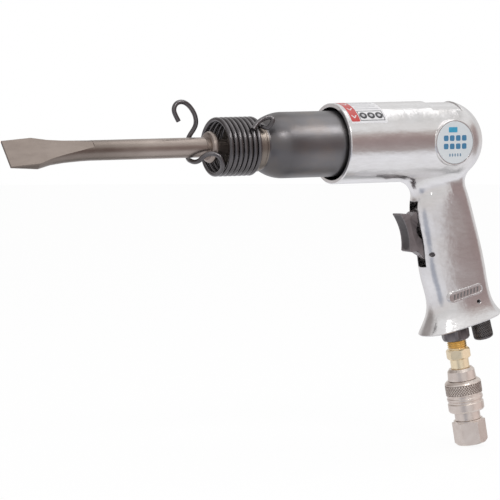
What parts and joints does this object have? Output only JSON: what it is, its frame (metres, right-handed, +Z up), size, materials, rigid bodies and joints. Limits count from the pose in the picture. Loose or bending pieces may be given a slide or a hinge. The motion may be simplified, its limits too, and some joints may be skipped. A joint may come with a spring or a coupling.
{
  "type": "pneumatic air hammer",
  "caption": "Pistol-grip pneumatic hammer with a barrel in a cast housing, a coiled wire retainer, a flat chisel, trigger, air regulator and quick coupler.",
  "frame": {"origin": "on the axis of the bore, where the housing's round outer wall starts, 0.5 mm behind its open front rim", "axes": "+X along the bore towards the rear of the tool (the chisel points to -X), +Z up, the grip hangs down; the badge is on the -Y side"},
  "size_m": [0.3594, 0.053, 0.2312],
  "materials": {
    "cast_aluminium": "polished cast aluminium",
    "black_oxide_steel": "black oxide, satin",
    "spring_steel": "dark oiled spring steel",
    "tool_steel": "bare brownish tool steel",
    "ground_steel": "ground bare steel",
    "dark_metal": "dark grey matte",
    "brass": "satin brass",
    "nickel": "satin nickel plate",
    "rubber": "black rubber",
    "badge_face": null,
    "label_film": "white printed film with a red band"
  },
  "bodies": {
    "handle": {"handle_housing": "cast_aluminium", "badge": "badge_face", "warning_label": "label_film", "barrel": "black_oxide_steel", "barrel_seal": "rubber", "valve_seat": "ground_steel", "valve_block": "ground_steel", "valve_pins": "ground_steel", "clamp_washer": "spring_steel", "retainer_spring": "spring_steel", "trigger_pin": "spring_steel", "throttle_bush": "black_oxide_steel", "throttle_seal": "rubber", "throttle_spring": "spring_steel", "regulator_pin": "spring_steel", "inlet_bushing": "dark_metal", "inlet_screen": "brass", "nipple": "brass"},
    "chisel": {"chisel": "tool_steel"},
    "piston": {"piston": "ground_steel"},
    "valve_plate": {"valve_plate": "ground_steel"},
    "trigger": {"trigger": "dark_metal"},
    "throttle_valve": {"throttle_valve": "ground_steel"},
    "regulator": {"regulator": "dark_metal", "regulator_seal": "rubber"},
    "coupler": {"coupler_body": "nickel", "coupler_balls": "ground_steel", "coupler_snap_ring": "spring_steel", "coupler_valve": "brass", "coupler_tail": "nickel", "coupler_spring": "spring_steel", "coupler_seal": "rubber"},
    "coupler_sleeve": {"coupler_sleeve": "nickel"}
  },
  "joints": [
    {"name": "chisel_slide", "type": "slide", "parent": "handle", "child": "chisel", "axis": [1, 0, 0], "range_m": [0, 0.0148]},
    {"name": "piston_slide", "type": "slide", "parent": "handle", "child": "piston", "axis": [1, 0, 0], "range_m": [0, 0.0635]},
    {"name": "valve_plate_slide", "type": "slide", "parent": "handle", "child": "valve_plate", "axis": [1, 0, 0], "range_m": [0, 0.0009]},
    {"name": "trigger_hinge", "type": "hinge", "parent": "handle", "child": "trigger", "pos_m": [0.07129, 0, -0.0735], "axis": [0, 1, 0], "range_deg": [0, 7.8], "stiffness_Nm_per_rad": 1.2, "springref_deg": -5.73},
    {"name": "throttle_slide", "type": "slide", "parent": "handle", "child": "throttle_valve", "axis": [0.9659, 0, 0.2588], "range_m": [0, 0.00364], "deforming": ["throttle_spring"]},
    {"name": "regulator_turn", "type": "hinge", "parent": "handle", "child": "regulator", "pos_m": [0.11315, 0, -0.11535], "axis": [0.2588, 0, -0.9659], "continuous": true},
    {"name": "coupler_swivel", "type": "hinge", "parent": "handle", "child": "coupler", "pos_m": [0.10115, 0, -0.16134], "axis": [0.1771, 0, -0.9842], "continuous": true},
    {"name": "sleeve_slide", "type": "slide", "parent": "coupler", "child": "coupler_sleeve", "axis": [0.1771, 0, -0.9842], "range_m": [0, 0.0045], "stiffness_N_per_m": 1200, "springref_m": -0.004, "deforming": ["coupler_spring"]}
  ],
  "couplings": [
    {"joint": "trigger_hinge", "follows": "throttle_slide", "rad_per_m": 37.38}
  ]
}
